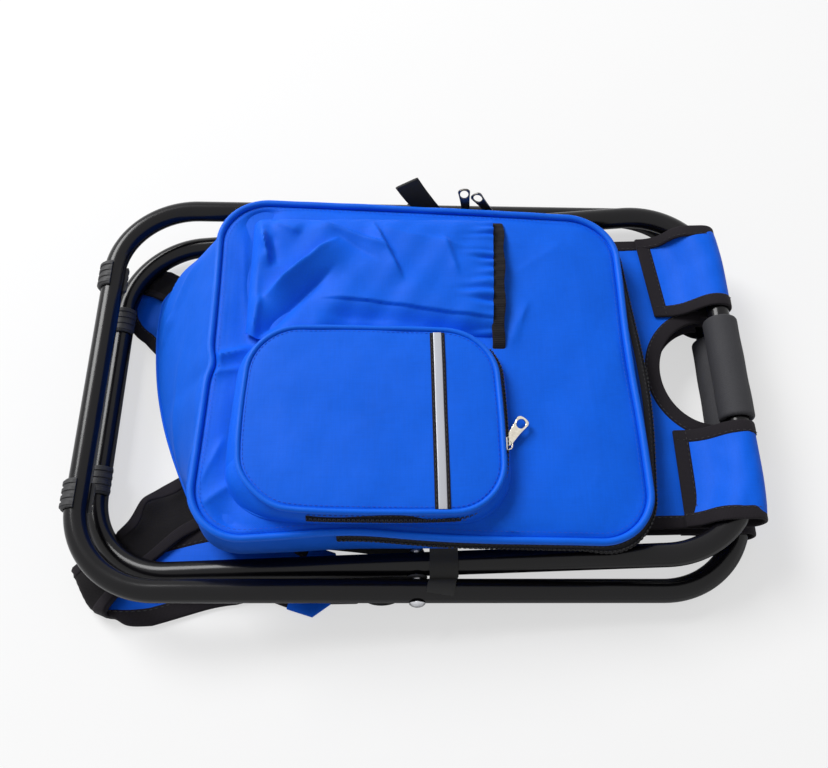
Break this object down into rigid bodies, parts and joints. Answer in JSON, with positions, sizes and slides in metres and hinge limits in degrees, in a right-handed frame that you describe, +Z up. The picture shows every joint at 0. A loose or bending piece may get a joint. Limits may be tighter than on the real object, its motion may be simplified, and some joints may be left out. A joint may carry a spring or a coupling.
{
  "type": "folding cooler stool",
  "caption": "Folding camping stool: two nested scissor-hinged tube loops, a fabric seat that folds at the middle, and a zipped cooler bag with pockets and shoulder straps.",
  "frame": {"origin": "centre of the bounding box in plan, on the floor that the folded stool lies on", "axes": "+X along the legs from the feet to the seat bars, +Z up off the floor, +Y to the far side, away from the small zip pocket"},
  "size_m": [0.4803, 0.3395, 0.0965],
  "materials": {
    "frame_tube": "black satin powder coat on steel tube",
    "foam_grip": "matte closed-cell foam sleeve",
    "foil_liner": "metallised insulated lining",
    "piping": "smooth bright blue corded piping",
    "reflective_tape": "silver reflective tape between black borders",
    "rivet_metal": "zinc-plated steel",
    "zip_metal": "nickel-plated cast metal",
    "black_plastic": "black moulded plastic",
    "black_webbing": "black woven webbing and zip tape",
    "blue_fabric": "coated plain-weave blue fabric with black bound edges"
  },
  "bodies": {
    "wide_frame": {"wide_frame": "frame_tube", "pivot_rivet_far": "rivet_metal", "pivot_rivet_near": "rivet_metal", "pivot_washer_far": "rivet_metal", "pivot_washer_near": "rivet_metal", "wide_foot_clip_near": "black_plastic", "wide_foot_clip_far": "black_plastic", "wide_grip": "foam_grip"},
    "wide_seat": {"wide_seat_panel": "blue_fabric", "wide_seat_tab_near": "blue_fabric", "wide_seat_tab_far": "blue_fabric"},
    "narrow_frame": {"narrow_frame": "frame_tube", "narrow_foot_clip_near": "black_plastic", "narrow_foot_clip_far": "black_plastic", "narrow_grip": "foam_grip", "bag_body": "blue_fabric", "bag_liner": "foil_liner", "main_zip_tape": "black_webbing", "tie_strap_far": "black_webbing", "tie_strap_near": "black_webbing", "shoulder_strap_near": "blue_fabric", "ladder_lock_near": "black_plastic", "lower_webbing_near": "black_webbing", "shoulder_strap_far": "blue_fabric", "ladder_lock_far": "black_plastic", "lower_webbing_far": "black_webbing"},
    "narrow_seat": {"narrow_seat_panel": "blue_fabric", "narrow_seat_tab_near": "blue_fabric", "narrow_seat_tab_far": "blue_fabric"},
    "bag_lid": {"bag_lid": "blue_fabric", "lid_piping": "piping", "zip_pocket_wall": "blue_fabric", "zip_pocket_tape": "black_webbing", "bottle_pocket": "blue_fabric", "elastic_band": "black_webbing"},
    "pocket_flap": {"zip_pocket_flap": "blue_fabric", "zip_pocket_piping": "piping", "reflective_strip": "reflective_tape"},
    "main_left_slider": {"main_left_slider": "black_plastic"},
    "main_left_pull": {"main_left_pull": "zip_metal"},
    "main_right_slider": {"main_right_slider": "black_plastic"},
    "main_right_pull": {"main_right_pull": "zip_metal"},
    "pocket_slider": {"pocket_slider": "zip_metal"},
    "pocket_pull": {"pocket_pull": "zip_metal"}
  },
  "joints": [
    {"name": "fold", "type": "hinge", "parent": "wide_frame", "child": "narrow_frame", "pos_m": [0.00319, 0, 0.02796], "axis": [0, -1, 0], "range_deg": [0, 67.7]},
    {"name": "narrow_seat_fold", "type": "hinge", "parent": "narrow_frame", "child": "narrow_seat", "pos_m": [0.2286, 0, 0.04431], "axis": [0, -1, 0], "range_deg": [0, 46.2]},
    {"name": "wide_seat_fold", "type": "hinge", "parent": "wide_frame", "child": "wide_seat", "pos_m": [0.2286, 0, 0.0116], "axis": [0, 1, 0], "range_deg": [0, 46.2]},
    {"name": "lid_hinge", "type": "hinge", "parent": "narrow_frame", "child": "bag_lid", "pos_m": [-0.15083, 0, 0.07794], "axis": [0, -1, 0], "range_deg": [0, 48]},
    {"name": "pocket_flap_hinge", "type": "hinge", "parent": "bag_lid", "child": "pocket_flap", "pos_m": [-0.11303, -0.0555, 0.09362], "axis": [0, -1, 0], "range_deg": [0, 45]},
    {"name": "main_left_slide", "type": "slide", "parent": "narrow_frame", "child": "main_left_slider", "axis": [-0.9979, 0, 0.065], "range_m": [0, 0.085]},
    {"name": "main_left_pull_swing", "type": "hinge", "parent": "main_left_slider", "child": "main_left_pull", "pos_m": [0.0452, 0.131, 0.05693], "axis": [-0.9979, 0, 0.065], "range_deg": [0, 95]},
    {"name": "main_right_slide", "type": "slide", "parent": "narrow_frame", "child": "main_right_slider", "axis": [0.9979, 0, -0.065], "range_m": [0, 0.044]},
    {"name": "main_right_pull_swing", "type": "hinge", "parent": "main_right_slider", "child": "main_right_pull", "pos_m": [0.06535, 0.131, 0.05562], "axis": [-0.9979, 0, 0.065], "range_deg": [0, 95]},
    {"name": "pocket_slide", "type": "slide", "parent": "bag_lid", "child": "pocket_slider", "axis": [0, 1, 0], "range_m": [0, 0.038]},
    {"name": "pocket_pull_swing", "type": "hinge", "parent": "pocket_slider", "child": "pocket_pull", "pos_m": [0.06372, -0.07, 0.07479], "axis": [-0.065, 0, -0.9979], "range_deg": [-20, 115]}
  ],
  "couplings": [
    {"joint": "narrow_seat_fold", "follows": "fold", "ratio": 0.6817},
    {"joint": "wide_seat_fold", "follows": "fold", "ratio": 0.6817}
  ]
}
